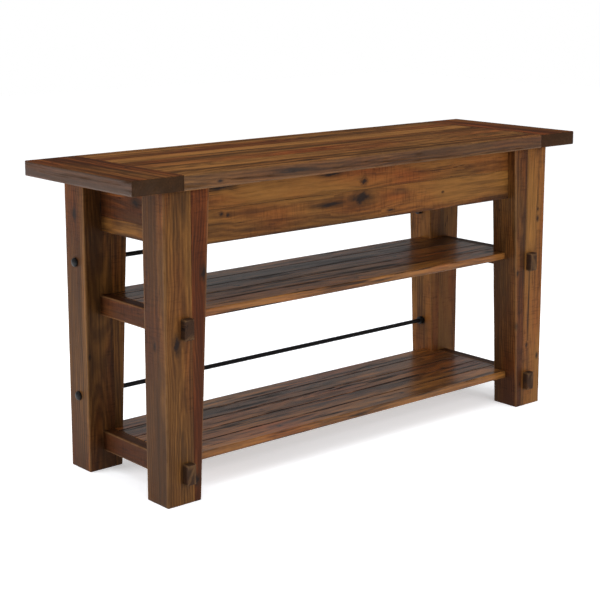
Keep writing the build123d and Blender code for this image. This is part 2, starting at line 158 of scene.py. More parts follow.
class Shader:
    """The node tree of a material or a world, built by calls."""

    def __init__(self, owner: bpy.types.Material | bpy.types.World) -> None:
        """Empty the owner's node tree."""
        owner.use_nodes = True
        self.owner = owner
        self.tree = owner.node_tree
        self.tree.nodes.clear()

    def node(
        self,
        kind: str,
        settings: dict[str, object] | None = None,
        values: "dict[int | str, object] | tuple[object, ...]" = (),
        output: int | str = 0,
    ) -> Signal:
        """Add one node.

        Args:
            kind: the node's type.
            settings: its own properties, which are set first.
            values: numbers, colours or signals for its input sockets, by place or by name.
            output: the output socket to hand back.

        Returns:
            The chosen output.
        """
        made = self.tree.nodes.new(kind)
        for key, value in (settings or {}).items():
            setattr(made, key, value)
        pairs = values.items() if isinstance(values, dict) else enumerate(values)
        for key, value in pairs:
            socket = made.inputs[key]
            if isinstance(value, Signal):
                self.tree.links.new(value.socket, socket)
            elif socket.type == "RGBA":
                socket.default_value = (*value, 1.0)
            else:
                socket.default_value = value
        return Signal(self, made.outputs[output])

    def attribute(self, name: str, output: str = "Vector") -> Signal:
        """A mesh attribute's vector, or its number with output "Fac"."""
        settings = {"attribute_type": "GEOMETRY", "attribute_name": name}
        return self.node("ShaderNodeAttribute", settings, output=output)

    def split(self, vector: Signal, axis: str) -> Signal:
        """One coordinate of a vector."""
        return self.node("ShaderNodeSeparateXYZ", None, (vector,), axis)

    def join(self, x: object, y: object, z: object) -> Signal:
        """A vector from three numbers or signals."""
        return self.node("ShaderNodeCombineXYZ", None, (x, y, z))

    def vector(self, operation: str, *operands: object, output: str = "Vector") -> Signal:
        """A Vector Math node on signals or (x, y, z) values."""
        return self.node("ShaderNodeVectorMath", {"operation": operation}, operands, output)

    def noise(self, place: Signal, figure: Figure) -> Signal:
        """Fractal noise, about 0.5 on average.

        Args:
            place: the coordinates in metres.
            figure: the noise's density and octaves.

        Returns:
            The noise.
        """
        shift = (figure.shift, figure.shift * 1.7, figure.shift * 2.3)
        moved = self.vector("MULTIPLY_ADD", place, figure.density, shift)
        values = {"Vector": moved, "Scale": 1.0, "Detail": figure.octaves, "Roughness": figure.roughness}
        return self.node("ShaderNodeTexNoise", {"noise_dimensions": "3D"}, values)

    def mask(self, place: Signal, figure: Figure) -> Signal:
        """The mask that a figure cuts from its noise."""
        return self.noise(place, figure).between(figure.starts, figure.full)

    def mix(self, mask: "Signal | float", under: object, over: object) -> Signal:
        """Mix two colours.

        Args:
            mask: share of the second colour.
            under: the first colour.
            over: the second colour.

        Returns:
            The mixed colour.
        """
        return self.node("ShaderNodeMix", {"data_type": "RGBA"}, {0: mask, 6: under, 7: over}, 2)

    def bump(self, height: Signal, strength: float, distance: float) -> Signal:
        """A Bump node's normal from a height in 0 to 1."""
        values = {"Strength": strength, "Distance": distance, "Height": height}
        return self.node("ShaderNodeBump", None, values)

    def scaled(self, colour: Signal, factor: Signal) -> Signal:
        """A colour or vector times a number."""
        values = {"Vector": colour, "Scale": factor}
        return self.node("ShaderNodeVectorMath", {"operation": "SCALE"}, values)

    def close(self, shader: Signal, output: str) -> None:
        """Lead the finished shader to an output node of that type."""
        end = self.tree.nodes.new(output)
        self.tree.links.new(shader.socket, end.inputs["Surface"])

    def surface(self, values: dict[int | str, object]) -> bpy.types.Material:
        """Close the material with a Principled shader that has those sockets, and hand it back."""
        self.close(self.node("ShaderNodeBsdfPrincipled", None, values), "ShaderNodeOutputMaterial")
        return self.owner


# --- Finishes ---


class Grain:
    """The marks on a stained board, each as a signal."""

    WANDER = Figure((1.4, 3.0, 3.0), 5.0, 2.0)
    RIPPLE = Figure((8.0, 22.0, 22.0), 7.0, 2.0)
    SWAY = Figure((1.6, 5.0, 5.0), 3.0, 2.0)
    FIBRE = Figure((12.0, 230.0, 230.0), 11.0, 5.0, 0.62)
    BAND = Figure((1.0, 1.0, 1.0), 23.0, 5.0, 0.60)
    CLOUD = Figure((1.1, 13.0, 13.0), 29.0, 2.0)
    PATCH = Figure((2.6, 11.0, 11.0), 37.0)
    STREAK = Figure((1.0, 1.0, 1.0), 41.0, 5.0, starts=0.53, full=0.64)
    SMUDGE = Figure((5.0, 24.0, 24.0), 59.0, 5.0, starts=0.56, full=0.72)
    FLECK = Figure((16.0, 150.0, 150.0), 61.0, 4.0, starts=0.60, full=0.70)
    PORE = Figure((34.0, 950.0, 950.0), 67.0, 2.0, starts=0.58, full=0.72)
    SCUFF = Figure((38.0, 60.0, 60.0), 83.0, 4.0)
    CHECK = Figure((1.5, 60.0, 60.0), 91.0)
    CHECKED_PATCH = Figure((2.2, 9.0, 9.0), 97.0, starts=0.56, full=0.64)
    SAW_MARK = Figure((210.0, 26.0, 26.0), 101.0, 2.0, starts=0.50, full=0.70)
    KNOT_EDGE = Figure((1.4, 1.4, 1.4), 13.0, 4.0)

    def __init__(self, sh: Shader, wood: "StainedWood") -> None:
        """Lay out every mark.

        Args:
            sh: the material that is being built.
            wood: the finish, which sizes the bands, the streaks and the rings.
        """
        board = sh.attribute("board")
        self.tone = sh.split(board, "X")
        self.redness = sh.split(board, "Y")
        self.end = sh.attribute("end", "Fac")
        edge = sh.attribute("edge", "Fac")
        flow = self._flow(sh)
        place = sh.vector("MULTIPLY_ADD", board, (9.0, 5.0, 7.0), flow)
        band = replace(self.BAND, density=(wood.band_length, wood.band_width, wood.band_width))
        thin = replace(self.STREAK, density=(wood.streak_length, wood.streak_width, wood.streak_width))
        self.rings = self._rings(sh, flow, board, place, wood.ring_spacing)
        self.fibre = sh.noise(place, self.FIBRE)
        self.bands = sh.noise(place, band)
        self.cloud = sh.noise(place, self.CLOUD)
        self.patch = sh.noise(place, self.PATCH)
        self.scuff = sh.noise(place, self.SCUFF)
        self.streak = sh.mask(place, thin)
        self.smudge = sh.mask(place, self.SMUDGE)
        self.fleck = sh.mask(place, self.FLECK) * self.patch.between(0.40, 0.55)
        self.pores = sh.mask(place, self.PORE)
        self.saw = sh.mask(place, self.SAW_MARK) * self.patch.between(0.42, 0.60)
        line = (sh.noise(place, self.CHECK) - 0.5).math("ABSOLUTE").between(0.010, 0.003)
        self.checks = line * sh.mask(place, self.CHECKED_PATCH)
        self.heart, self.rim = self._knot_masks(sh)
        # Lighter colour along free arrises: wear, and also a painted highlight along the edge.
        self.worn = edge.between(0.35, 1.0) * self.scuff.between(0.05, 0.60)
        # Dark glaze at glue lines, and painted shade along free edges whose edge value is below 0, such
        # as the aprons' lower edges.
        self.seam = edge.between(-0.05, -1.0) * self.scuff.between(0.30, 0.55)
        stained = self.fleck + self.streak * 0.7 + self.smudge * 0.4
        self.dull = (stained + self.checks + self.seam + self.end * 0.8).between(0.0, 1.0)

    def _flow(self, sh: Shader) -> Signal:
        """Grain coordinates, wandering a little and bent round the nearest knot."""
        grain = sh.attribute("grain")
        knot = sh.attribute("knot")
        size = sh.attribute("knot_size", "Fac")
        reach = sh.vector("LENGTH", sh.vector("MULTIPLY", knot, (0.55, 1.0, 1.0)), output="Value")
        around = sh.scaled(knot, (reach * reach * -0.20).math("EXPONENT") * size * -0.85)
        wander = (sh.noise(grain, self.WANDER) - 0.5) * 0.026
        ripple = (sh.noise(grain, self.RIPPLE) - 0.5) * 0.004
        bent = sh.join(0.0, wander + ripple, wander)
        sideways = sh.vector("MULTIPLY_ADD", around, (0.0, 1.0, 1.0), bent)
        return sh.vector("ADD", grain, sideways)

    def _knot_masks(self, sh: Shader) -> tuple[Signal, Signal]:
        """Masks of the nearest knot's dark heart and of the stained rim about it."""
        knot = sh.attribute("knot")
        reach = sh.vector("LENGTH", knot, output="Value")
        ragged = reach + (sh.noise(knot, self.KNOT_EDGE) - 0.5) * 1.6
        return ragged.between(1.0, 0.5), ragged.between(2.2, 0.7)

    def _rings(self, sh: Shader, flow: Signal, board: Signal, place: Signal, spacing: float) -> Signal:
        """Growth rings about a heart line that lies under or beside the board.

        Args:
            sh: the material that is being built.
            flow: the grain coordinates.
            board: the board's tone, redness and random number.
            place: the grain coordinates, shifted for each board.
            spacing: from ring to ring, in metres.

        Returns:
            The rings as a wave from 0 to 1.
        """
        heart = sh.vector("MULTIPLY_ADD", board, (0.0, 0.09, 0.06), (0.0, -0.045, 0.024))
        sway = sh.noise(place, self.SWAY) - 0.5
        drift = sh.join(0.0, sway * 0.05, sway * 0.10)
        settings = {"wave_type": "RINGS", "rings_direction": "X", "wave_profile": "SIN"}
        values = {
            "Vector": sh.vector("ADD", sh.vector("ADD", flow, heart), drift),
            "Scale": math.tau / 20.0 / spacing,
            "Distortion": 2.2,
            "Detail": 3.0,
            "Detail Scale": 0.7,
        }
        return sh.node("ShaderNodeTexWave", settings, values, "Fac")


@dataclass(frozen=True)
class StainedWood:
    """Stained and lacquered hardwood with rings, streaks, knots, checks and rubbed edges, the rubbed
    edges also a painted highlight, with painted shade and sheen on upright faces and along some free
    edges.

    It reads what each board's mesh says of itself: grain coordinates, tone, ends, edges and knots.
    """

    name: str
    deep: Rgb = (0.016, 0.008, 0.004)
    brown: Rgb = (0.047, 0.0194, 0.0062)
    golden: Rgb = (0.163, 0.0695, 0.0160)
    red_tint: Rgb = (0.92, 0.56, 0.52)
    # Dark grey-brown of the smoky stain smudges, also used as the painted shade and sheen on upright
    # faces.
    smoky: Rgb = (0.028, 0.0150, 0.0080)
    # Colour of rubbed free edges, lighter from wear and from a painted edge highlight.
    rubbed: Rgb = (0.200, 0.105, 0.042)
    end_grain: Rgb = (0.026, 0.0150, 0.0095)
    knot_heart: Rgb = (0.010, 0.006, 0.005)
    streaks: float = 0.40
    smudges: float = 0.45
    flecks: float = 0.38
    # Darkness at glue lines, and of the painted shade on free edges set below 0.
    seam_glaze: float = 0.6
    saw_marks: float = 1.0
    roughness: float = 0.46
    specular: float = 0.08
    coat: float = 0.0
    side_coat: float = 0.0
    # Share of painted shade and painted sheen, a darker greyer colour, laid on upright faces.
    side_glaze: float = 0.0
    ring_spacing: float = 6.5 * MM
    ring_share: float = 0.06
    band_share: float = 0.24
    band_length: float = 1.8
    band_width: float = 38.0
    streak_length: float = 1.8
    streak_width: float = 75.0

    def make(self) -> bpy.types.Material:
        """Build the material."""
        sh = Shader(bpy.data.materials.new(self.name))
        grain = Grain(sh, self)
        colour = self._colour(sh, grain)
        coat: Signal | float = 0.0
        # Upright faces are painted darker and greyer: painted shade and painted sheen chosen by the
        # face's slope.
        if self.side_glaze:
            slope = sh.split(sh.node("ShaderNodeNewGeometry", output="Normal"), "Z").math("ABSOLUTE")
            sides = slope.between(0.75, 0.35)
            colour = sh.mix(sides * self.side_glaze, colour, self.smoky)
            coat = (sides * self.side_coat + self.coat) * (1.0 - grain.dull)
        rough = grain.fibre * 0.22 + grain.pores * 0.15 + grain.checks * 0.25 + grain.end * 0.2
        relief = grain.fibre * 0.50 + grain.rings * 0.12 + grain.scuff * 0.16 + grain.bands * 0.20
        relief = relief - grain.pores * 0.22 - grain.checks * 0.9 - grain.rim * 0.20
        relief = relief - grain.saw * 0.12 * self.saw_marks + 0.3
        return sh.surface(
            {
                "Base Color": colour,
                "Roughness": rough + (self.roughness - 0.11),
                "Coat Weight": coat,
                "Coat Roughness": 0.25,
                "Specular IOR Level": self.specular,
                "Normal": sh.bump(relief, 0.5, 0.8 * MM),
            }
        )

    def _colour(self, sh: Shader, grain: Grain) -> Signal:
        """The colour: figure first, then dark marks, knots, ends and edges, with a painted highlight on
        rubbed edges and painted shade on some free edges.

        Args:
            sh: the material that is being built.
            grain: the board's marks.

        Returns:
            The colour.
        """
        figure = grain.cloud * (0.80 - self.band_share) + grain.bands * self.band_share
        figure = figure + grain.fibre * 0.16 + grain.rings * self.ring_share
        figure = figure + (grain.tone - 0.5) * 0.40
        colour = sh.mix(figure.between(0.36, 0.64), self.brown, self.golden)
        red = (grain.patch * 0.7 + grain.redness * 0.5).between(0.44, 0.74)
        colour = sh.mix(red, colour, sh.vector("MULTIPLY", colour, self.red_tint))
        colour = sh.mix(grain.streak * self.streaks, colour, self.deep)
        colour = sh.mix(grain.smudge * self.smudges, colour, self.smoky)
        colour = sh.mix(grain.fleck * self.flecks, colour, self.knot_heart)
        shade = grain.fibre * 0.85 + grain.rings * self.ring_share + grain.scuff * 0.24 + 0.42
        shade = shade - grain.pores * 0.16 - grain.saw * 0.27 * self.saw_marks
        colour = sh.scaled(colour, shade)
        for mask, share, over in (
            (grain.rim, 0.60, self.deep),
            (grain.heart, 0.90, self.knot_heart),
            (grain.end, 0.75, self.end_grain),
            # Rubbed edges: wear, and a painted highlight on the arris.
            (grain.worn, 0.30, self.rubbed),
            # Glue lines glazed dark, and painted shade on free edges set below 0.
            (grain.seam, self.seam_glaze, self.knot_heart),
            (grain.checks, 0.85, self.knot_heart),
        ):
            colour = sh.mix(mask * share, colour, over)
        return colour


@dataclass(frozen=True)
class ForgedIron:
    """Black-painted forged iron, slightly hammered, with rubbed high spots."""

    name: str = "black_forged_iron"
    paint: Rgb = (0.004, 0.004, 0.0045)
    rubbed: Rgb = (0.030, 0.027, 0.025)
    roughness: float = 0.45

    def make(self) -> bpy.types.Material:
        """Build the material."""
        sh = Shader(bpy.data.materials.new(self.name))
        place = sh.node("ShaderNodeTexCoord", output="Object")
        hammer = sh.noise(place, Figure((70.0, 160.0, 160.0), 3.0, 2.0))
        grit = sh.noise(place, Figure((900.0, 900.0, 900.0), 9.0))
        rub = hammer.between(0.58, 0.74) * grit.between(0.35, 0.65)
        return sh.surface(
            {
                "Base Color": sh.mix(rub * 0.6, self.paint, self.rubbed),
                "Specular IOR Level": 0.22,
                "Roughness": grit * 0.3 + (self.roughness - 0.15),
                "Normal": sh.bump(hammer * 0.7 + grit * 0.3, 0.5, 0.5 * MM),
            }
        )


@dataclass(frozen=True)
class PlatedSteel:
    """Zinc-plated screw steel with a dull spangle."""

    name: str = "zinc_plated_steel"
    bright: Rgb = (0.45, 0.46, 0.44)
    dull: Rgb = (0.30, 0.29, 0.26)

    def make(self) -> bpy.types.Material:
        """Build the material."""
        sh = Shader(bpy.data.materials.new(self.name))
        place = sh.node("ShaderNodeTexCoord", output="Object")
        spangle = sh.noise(place, Figure((420.0, 420.0, 420.0), 5.0))
        return sh.surface(
            {
                "Base Color": sh.mix(spangle.between(0.35, 0.7), self.bright, self.dull),
                "Metallic": 0.95,
                "Roughness": spangle * 0.2 + 0.34,
                "Normal": sh.bump(spangle, 0.25, 0.2 * MM),
            }
        )


@dataclass(frozen=True)
class StudioPaper:
    """Plain pale floor with a barely visible mottle."""

    name: str = "studio_paper"
    pale: Rgb = (0.870, 0.892, 0.925)
    shaded: Rgb = (0.845, 0.867, 0.900)
    glow: float = 0.42

    def make(self) -> bpy.types.Material:
        """Build the material."""
        sh = Shader(bpy.data.materials.new(self.name))
        place = sh.node("ShaderNodeTexCoord", output="Object")
        mottle = sh.noise(place, Figure((3.0, 3.0, 3.0), 1.0, 2.0))
        return sh.surface(
            {
                "Base Color": sh.mix(mottle, self.pale, self.shaded),
                "Roughness": 0.9,
                "Specular IOR Level": 0.0,
                "Emission Color": WHITE,
                "Emission Strength": self.glow,
            }
        )


# --- Boards ---


def tube_faces(rows: int, count: int, base: int = 0) -> Faces:
    """Quads round a tube of rings, and one face at each end.

    Args:
        rows: how many rings.
        count: how many points a ring has.
        base: the number of the first point.

    Returns:
        The faces.
    """
    faces: Faces = []
    last = base + (rows - 1) * count
    for start in range(base, last, count):
        for column in range(count):
            a = start + column
            b = start + (column + 1) % count
            faces.append((a, b, b + count, a + count))
    faces.append(tuple(range(base, base + count))[::-1])
    faces.append(tuple(range(last, last + count)))
    return faces


@dataclass
class BoardSet:
    """Points, faces and what they say of themselves, for the boards of one piece."""

    points: list[np.ndarray] = field(default_factory=list)
    faces: Faces = field(default_factory=list)
    grain: list[np.ndarray] = field(default_factory=list)
    board: list[np.ndarray] = field(default_factory=list)
    end: list[np.ndarray] = field(default_factory=list)
    edge: list[np.ndarray] = field(default_factory=list)
    knot: list[np.ndarray] = field(default_factory=list)
    knot_size: list[float] = field(default_factory=list)
    count: int = 0

    def mesh(self, name: str) -> bpy.types.Mesh:
        """Make one mesh of all the boards.

        Args:
            name: the mesh's name.

        Returns:
            The mesh with its attributes.
        """
        mesh = bpy.data.meshes.new(name)
        mesh.from_pydata(np.concatenate(self.points).tolist(), [], self.faces)
        for key, kind, domain, values in (
            ("grain", "FLOAT_VECTOR", "POINT", np.concatenate(self.grain)),
            ("board", "FLOAT_VECTOR", "POINT", np.concatenate(self.board)),
            ("end", "FLOAT", "POINT", np.concatenate(self.end)),
            ("edge", "FLOAT", "POINT", np.concatenate(self.edge)),
            ("knot", "FLOAT_VECTOR", "CORNER", np.concatenate(self.knot)),
            ("knot_size", "FLOAT", "CORNER", np.array(self.knot_size)),
        ):
            attribute = mesh.attributes.new(key, kind, domain)
            channel = "vector" if kind == "FLOAT_VECTOR" else "value"
            attribute.data.foreach_set(channel, values.astype(np.float32).ravel())
        mesh.shade_smooth()
        return mesh


@dataclass
class Knot:
    """A knot's middle in frame coordinates in millimetres, and its size across the grain."""

    x: float
    y: float
    z: float
    size: float
    stretch: float = 1.6


@dataclass
class Board:
    """One sawn board as a closed mesh with worn edges, a slight wave and its own grain.

    Its section has a wide way, across, and a depth. Edges and corners are worked at one station
    after another along it.
    """

    low: Vector
    high: Vector
    along: Axis
    across: Axis
    seed: int
    tone: float = 0.5
    redness: float = 0.3
    arris: float = 3.0 * MM
    low_edge: Joint = Joint.FREE
    high_edge: Joint = Joint.FREE
    low_end: Joint = Joint.FREE
    high_end: Joint = Joint.FREE
    knots: tuple[Knot, ...] = ()
    stray_knots: int = 1
    wave: float = 0.45 * MM
    glaze: float = 1.0
    # Edge value at free edges: above 0 painted lighter as wear and highlight, below 0 painted darker as
    # shade.
    free_edge: float = 1.0
    glued_radius: float = 0.6 * MM
    end_round: float = 2.0 * MM
    pitch: float = 10.0 * MM
    arc_steps: int = 4

    CORNERS = ((1, 1), (-1, 1), (-1, -1), (1, -1))
    END_STEPS = 3
    END_GRAIN_TURN = 0.6
    STRAY_KNOT_SIZES = (2.0 * MM, 5.0 * MM)
    STRAY_KNOT_STRETCH = 1.6
    EDGE_FADE = 0.4

    def __post_init__(self) -> None:
        """Put the sizes in the order along, across, depth."""
        depth = next(axis for axis in Axis if axis not in (self.along, self.across))
        self.order = [self.along.value, self.across.value, depth.value]
        self.near = np.array(self.low)[self.order]
        self.far = np.array(self.high)[self.order]

    def section(self, place: float) -> Limits:
        """Low and high limits of the section, across and in depth, at a place along the board."""
        return self.near[1:], self.far[1:]

    def breaks(self) -> list[float]:
        """Places along the board where its section steps."""
        return []

    def darkening(self, place: float) -> float:
        """Share of end-grain stain on the board's sides at a place along it."""
        return 0.0

    def _stations(self) -> list[Triple]:
        """Places along the board, each with its inset and its share of end grain."""
        rows: list[list[Triple]] = []
        for joint in (self.low_end, self.high_end):
            radius = self.end_round if joint is Joint.FREE else self.glued_radius
            turns = [math.pi / 2 * (1 - i / self.END_STEPS) for i in range(self.END_STEPS + 1)]
            shares = [float(turn > self.END_GRAIN_TURN) for turn in turns]
            curve = [(radius * (1 - math.cos(turn)), radius * (1 - math.sin(turn))) for turn in turns]
            rows.append([(*point, share) for point, share in zip(curve, shares)])
        head = [(self.near[0] + inset, offset, share) for offset, inset, share in rows[0]]
        tail = [(self.far[0] - inset, offset, share) for offset, inset, share in reversed(rows[1])]
        start, end = head[-1][0], tail[0][0]
        stops = [start, *self.breaks(), end]
        middle: list[Triple] = []
        for first, last in zip(stops, stops[1:]):
            steps = max(2, round((last - first) / self.pitch))
            middle += [(first + (last - first) * i / steps, 0.0, 0.0) for i in range(steps + 1)]
        return head[:-1] + middle + tail[1:]

    def _corner(self, corner: int) -> tuple[float, float]:
        """A corner's nominal radius and its edge value: above 0 worn and painted lighter as a highlight,
        below 0 glazed dark at a glue line and painted dark as shade at a free edge set below 0.
        """
        sign = self.CORNERS[corner % 4][0]
        joint = self.high_edge if sign > 0 else self.low_edge
        return (self.arris, self.free_edge) if joint is Joint.FREE else (self.glued_radius, -self.glaze)

    def _radius(self, corner: int, place: float) -> float:
        """A corner's radius at a place along the board, uneven where it is worn."""
        nominal, value = self._corner(corner)
        if value < 0 and nominal < self.arris:
            return nominal
        slow = noise.noise(Vector((place * 9.0, corner * 3.7, self.seed * 1.3)))
        quick = noise.noise(Vector((place * 45.0, corner * 5.1, self.seed * 2.1)))
        return nominal * (0.85 + 0.35 * slow + 0.30 * max(0.0, quick))

    def _side_offsets(self, corner: int, length: float) -> Outline:
        """Places along the flat side after a corner, from that corner, with edge values."""
        radius, value = self._corner(corner)
        next_radius, next_value = self._corner(corner + 1)
        first = self._past_arc(radius)
        last = length - self._past_arc(next_radius)
        cells = max(1, round((last - first) / self.pitch))
        inner = [(first + (last - first) * i / cells, 0.0) for i in range(1, cells)]
        return [(first, value * self.EDGE_FADE), *inner, (last, next_value * self.EDGE_FADE)]

    @staticmethod
    def _past_arc(radius: float) -> float:
        """How far from a corner the flat side's outermost point lies."""
        return radius * 1.6 + 1.0 * MM

    def _ring(self, place: float, inset: float, cells: list[Outline]) -> Limits:
        """The outline of the board at one station.

        Args:
            place: the station's place along the board.
            inset: how far the outline is drawn in, at a rounded end.
            cells: each side's nominal offsets and edge values.

        Returns:
            The outline's points and their edge values.
        """
        low, high = self.section(place)
        middle, half = (low + high) / 2, (high - low) / 2
        points: Outline = []
        outward: Outline = []
        edges: list[float] = []
        for corner, (sa, sd) in enumerate(self.CORNERS):
            radius = self._radius(corner, place)
            value = self._corner(corner)[1]
            centre = (sa * (half[0] - radius), sd * (half[1] - radius))
            first = math.atan2(sd, sa) - math.pi / 4
            for step in range(self.arc_steps + 1):
                turn = first + math.pi / 2 * step / self.arc_steps
                points.append((centre[0] + radius * math.cos(turn), centre[1] + radius * math.sin(turn)))
                outward.append((math.cos(turn), math.sin(turn)))
                edges.append(value)
            next_a, next_d = self.CORNERS[(corner + 1) % 4]
            side = ((sa + next_a) / 2, (sd + next_d) / 2)
            run = 1 if side[0] else 0
            heading = next_d if run else next_a
            nominal = self._nominal[run]
            for offset, share in cells[corner]:
                at = heading * (offset * 2 * half[run] / nominal - half[run])
                points.append((side[0] * half[0], at) if run else (at, side[1] * half[1]))
                outward.append(side)
                edges.append(share)
        outline = np.array(points)
        sink = np.array([self._sink(place, point) for point in points])
        outline = outline - np.array(outward) * sink[:, None]
        outline = outline * ((half - inset) / half)
        return outline + middle, np.array(edges)

    def _sink(self, place: float, point: tuple[float, float]) -> float:
        """How far the surface lies under the board's true face at a point."""
        broad = noise.noise(Vector((place * 5.0, point[0] * 22.0 + self.seed, point[1] * 22.0)))
        close = noise.noise(Vector((place * 26.0, point[0] * 60.0, point[1] * 60.0 + self.seed)))
        return self.wave * (0.5 + 0.35 * broad + 0.15 * close)

    def add_to(self, parts: BoardSet) -> None:
        """Add the board to a piece.

        Args:
            parts: the piece's points and faces so far.
        """
        rng = random.Random(self.seed)
        low, high = self.section((self.near[0] + self.far[0]) / 2)
        self._nominal = high - low
        cells = [self._side_offsets(corner, self._nominal[corner % 2]) for corner in range(4)]
        rings: list[np.ndarray] = []
        ends: list[np.ndarray] = []
        edges: list[np.ndarray] = []
        for place, inset, share in self._stations():
            outline, edge = self._ring(place, inset, cells)
            rings.append(np.column_stack([np.full(len(outline), place), outline]))
            ends.append(np.full(len(outline), max(share, self.darkening(place))))
            edges.append(edge)
        placed = np.concatenate(rings)
        count = len(rings[0])
        faces = tube_faces(len(rings), count)
        world = np.empty_like(placed)
        world[:, self.order] = placed
        if np.linalg.det(np.eye(3)[self.order]) < 0:
            faces = [face[::-1] for face in faces]
        middle = (self.near + self.far) / 2
        self._mark_knots(parts, faces, placed, rng)
        parts.faces += [tuple(parts.count + i for i in face) for face in faces]
        parts.points.append(world)
        parts.grain.append(placed - middle * np.array([0.0, 1.0, 1.0]))
        parts.board.append(np.tile([self.tone, self.redness, rng.random()], (len(world), 1)))
        parts.end.append(np.concatenate(ends))
        parts.edge.append(np.concatenate(edges))
        parts.count += len(world)

    def _mark_knots(
        self, parts: BoardSet, faces: Faces, placed: np.ndarray, rng: random.Random
    ) -> None:
        """Give every face corner its offset from the face's nearest knot, in knot sizes.

        Args:
            parts: the piece's points and faces so far.
            faces: the board's faces.
            placed: the board's points in (along, across, depth) order.
            rng: the board's random numbers.
        """
        middles = [np.array([k.x, k.y, k.z])[self.order] * MM for k in self.knots]
        sizes = [k.size * MM for k in self.knots]
        stretches = [k.stretch for k in self.knots]
        for _ in range(self.stray_knots):
            middle = np.array([rng.uniform(a, b) for a, b in zip(self.near, self.far)])
            middle[2] = rng.choice([self.near[2], self.far[2]])
            middles.append(middle)
            sizes.append(rng.uniform(*self.STRAY_KNOT_SIZES))
            stretches.append(self.STRAY_KNOT_STRETCH)
        if not middles:
            middles, sizes, stretches = [self.far + 1.0], [MM], [1.0]
        scale = np.array([[1 / (s * t), 1 / s, 1 / s] for s, t in zip(sizes, stretches)])
        places = np.array(middles)
        corners = [i for face in faces for i in face]
        lengths = np.array([len(face) for face in faces])
        starts = np.concatenate([[0], np.cumsum(lengths)[:-1]])
        centres = np.add.reduceat(placed[corners], starts) / lengths[:, None]
        reach = np.linalg.norm((centres[:, None, :] - places) * scale, axis=2)
        nearest = np.repeat(np.argmin(reach, axis=1), lengths)
        parts.knot.append((placed[corners] - places[nearest]) * scale[nearest])
        parts.knot_size += np.array(sizes)[nearest].tolist()


@dataclass
class TaperedBoard(Board):
    """A board sawn narrower towards its low end, on the side away from its glue line."""

    narrowing: float = 0.0

    def section(self, place: float) -> Limits:
        """Limits at a place, drawn in on the free side."""
        low, high = self.near[1:].copy(), self.far[1:].copy()
        cut = self.narrowing * (self.far[0] - place) / (self.far[0] - self.near[0])
        if self.high_edge is Joint.GLUED:
            low[0] += cut
        else:
            high[0] -= cut
        return low, high


@dataclass
class TenonedRail(Board):
    """A rail whose two ends are cut to thinner tenons."""

    shoulder: float = 0.0
    tenon: float = 0.0
    proud_from: float = 0.0

    STEP = 0.4 * MM

    def breaks(self) -> list[float]:
        """Both shoulders, each a step between two close stations."""
        outside = self.shoulder + self.STEP
        return [-outside, -self.shoulder, self.shoulder, outside]

    def darkening(self, place: float) -> float:
        """The proud ends of the tenons take up as much stain as end grain."""
        return 0.8 if abs(place) > self.proud_from else 0.0

    def section(self, place: float) -> Limits:
        """Limits at a place: the full rail between its shoulders, and the tenons outside."""
        low, high = self.near[1:].copy(), self.far[1:].copy()
        if abs(place) > self.shoulder + self.STEP / 2:
            middle = (low[1] + high[1]) / 2
            low[1], high[1] = middle - self.tenon / 2, middle + self.tenon / 2
        return low, high


@dataclass
class Lathe:
    """A round part on a frame axis, turned from a profile and left slightly uneven by the hammer."""

    centre: Vector
    axis: Axis
    profile: Outline
    seed: int
    uneven: float = 0.15 * MM
    sides: int = 40

    def build(self, points: list[Triple], faces: Faces) -> None:
        """Add the part to lists of points and faces.

        Args:
            points: the points so far.
            faces: the faces so far.
        """
        base = len(points)
        first, second = [i for i in range(3) if i != self.axis.value]
        if self.axis is Axis.Y:
            first, second = second, first
        for along, radius in self.profile:
            for side in range(self.sides):
                turn = math.tau * side / self.sides
                lump = noise.noise(
                    Vector((along * 30.0 + self.seed * 7.3, math.cos(turn) * 1.6, math.sin(turn) * 1.6))
                )
                shrunk = max(radius - self.uneven * (0.5 + 0.5 * lump), 0.05 * MM)
                point = list(self.centre)
                point[self.axis.value] += along
                point[first] += shrunk * math.cos(turn)
                point[second] += shrunk * math.sin(turn)
                points.append(tuple(point))
        faces.extend(tube_faces(len(self.profile), self.sides, base))


def show(
    name: str, mesh: bpy.types.Mesh, material: bpy.types.Material, stands_for: str
) -> None:
    """Put a finished mesh in the frame.

    Args:
        name: the piece's name.
        mesh: its mesh.
        material: its finish.
        stands_for: the CAD node that it replaces.
    """
    piece = bpy.data.objects.new(name, mesh)
    bpy.context.scene.collection.objects.link(piece)
    mesh.materials.append(material)
    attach(piece, "root")
    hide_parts(stands_for)
    log.info("%s: %d faces", name, len(mesh.polygons))


def show_boards(node: str, boards: list[Board], material: bpy.types.Material) -> None:
    """Build boards as one piece that stands for a CAD node, named after it.

    Args:
        node: the CAD node.
        boards: the boards.
        material: their finish.
    """
    parts = BoardSet()
    for board in boards:
        board.add_to(parts)
    name = f"{node}_finished"
    show(name, parts.mesh(name), material, node)


# --- Sub-assemblies ---


